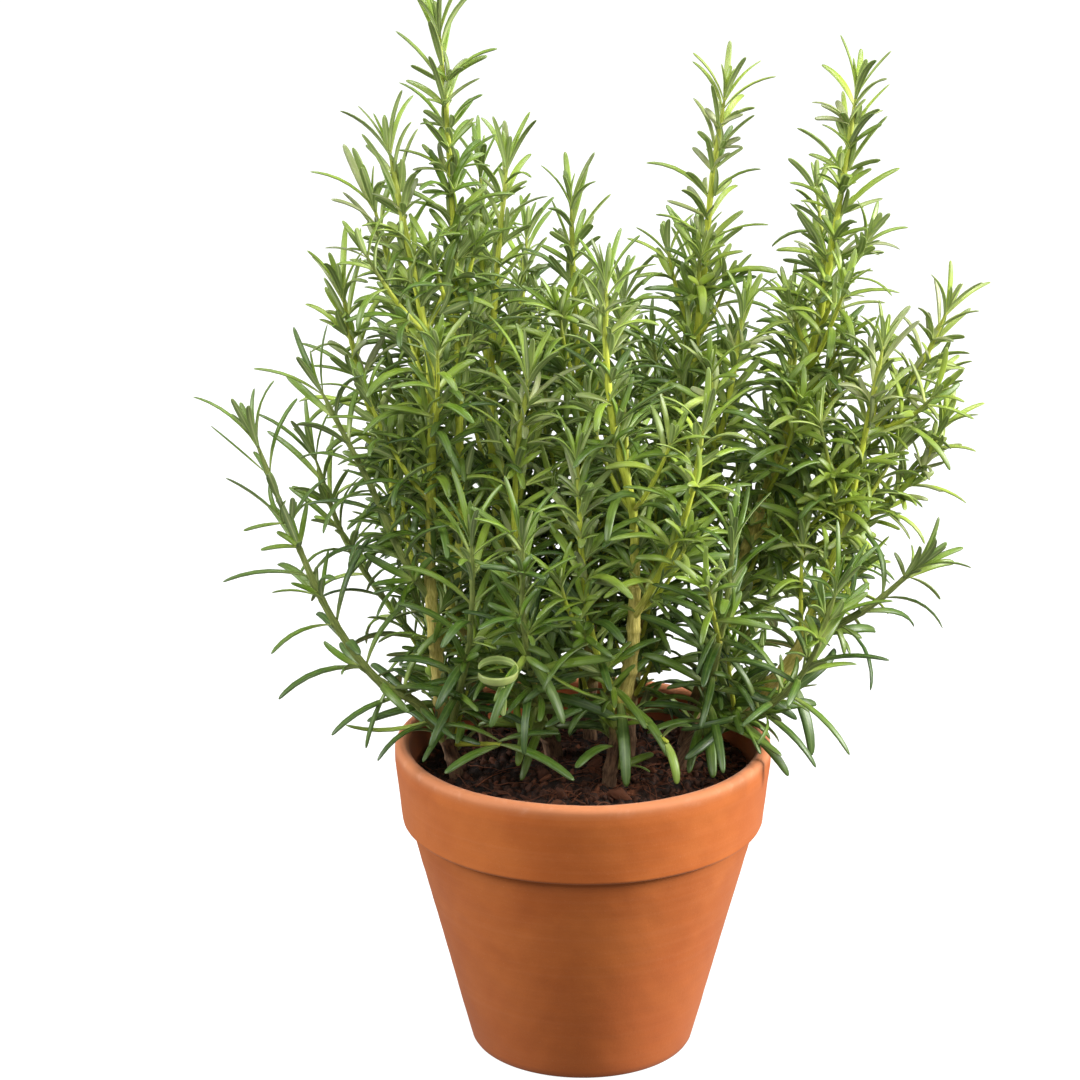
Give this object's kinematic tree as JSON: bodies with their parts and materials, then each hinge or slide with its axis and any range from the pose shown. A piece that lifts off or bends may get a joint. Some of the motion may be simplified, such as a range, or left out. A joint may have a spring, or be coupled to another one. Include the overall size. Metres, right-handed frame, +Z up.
{
  "type": "potted rosemary plant",
  "caption": "Rosemary plant with upright leafy shoots on woody stems, growing in potting soil in a tapered clay pot with a thick rim band and a drain hole.",
  "frame": {"origin": "under the middle of the whole plant's outline, on the surface that the pot stands on", "axes": "+Z up along the pot's axis; the side seen in the picture faces -Y, with +X to its right"},
  "size_m": [0.2752, 0.186, 0.3954],
  "materials": {
    "terracotta": "matte",
    "potting_soil": "matte",
    "bark": "matte",
    "foliage": "satin"
  },
  "bodies": {
    "root": {"pot": "terracotta", "potting_soil": "potting_soil", "woody_stem_back": "bark", "woody_stem_far_back": "bark", "woody_stem_front": "bark", "woody_stem_left": "bark", "woody_stem_left_back": "bark", "woody_stem_low_right": "bark", "woody_stem_middle": "bark", "woody_stem_right_back": "bark", "woody_stem_right_middle": "bark", "shoot_back": "foliage", "shoot_back_left": "foliage", "shoot_back_right": "foliage", "shoot_centre": "foliage", "shoot_centre_back": "foliage", "shoot_centre_front": "foliage", "shoot_centre_front_left": "foliage", "shoot_centre_left": "foliage", "shoot_front_low_left": "foliage", "shoot_front_low_middle": "foliage", "shoot_front_low_right": "foliage", "shoot_front_pale": "foliage", "shoot_front_young": "foliage", "shoot_left_back_high": "foliage", "shoot_left_back_inner": "foliage", "shoot_left_front": "foliage", "shoot_left_middle": "foliage", "shoot_left_outer": "foliage", "shoot_left_tall": "foliage", "shoot_low_back": "foliage", "shoot_low_left": "foliage", "shoot_low_left_back": "foliage", "shoot_low_right": "foliage", "shoot_low_right_back": "foliage", "shoot_low_right_front": "foliage", "shoot_right_far_back": "foliage", "shoot_right_far_low": "foliage", "shoot_right_far_tall": "foliage", "shoot_right_front": "foliage", "shoot_right_inner": "foliage", "shoot_right_inner_back": "foliage", "shoot_right_outer": "foliage", "shoot_right_tall": "foliage"}
  },
  "joints": []
}
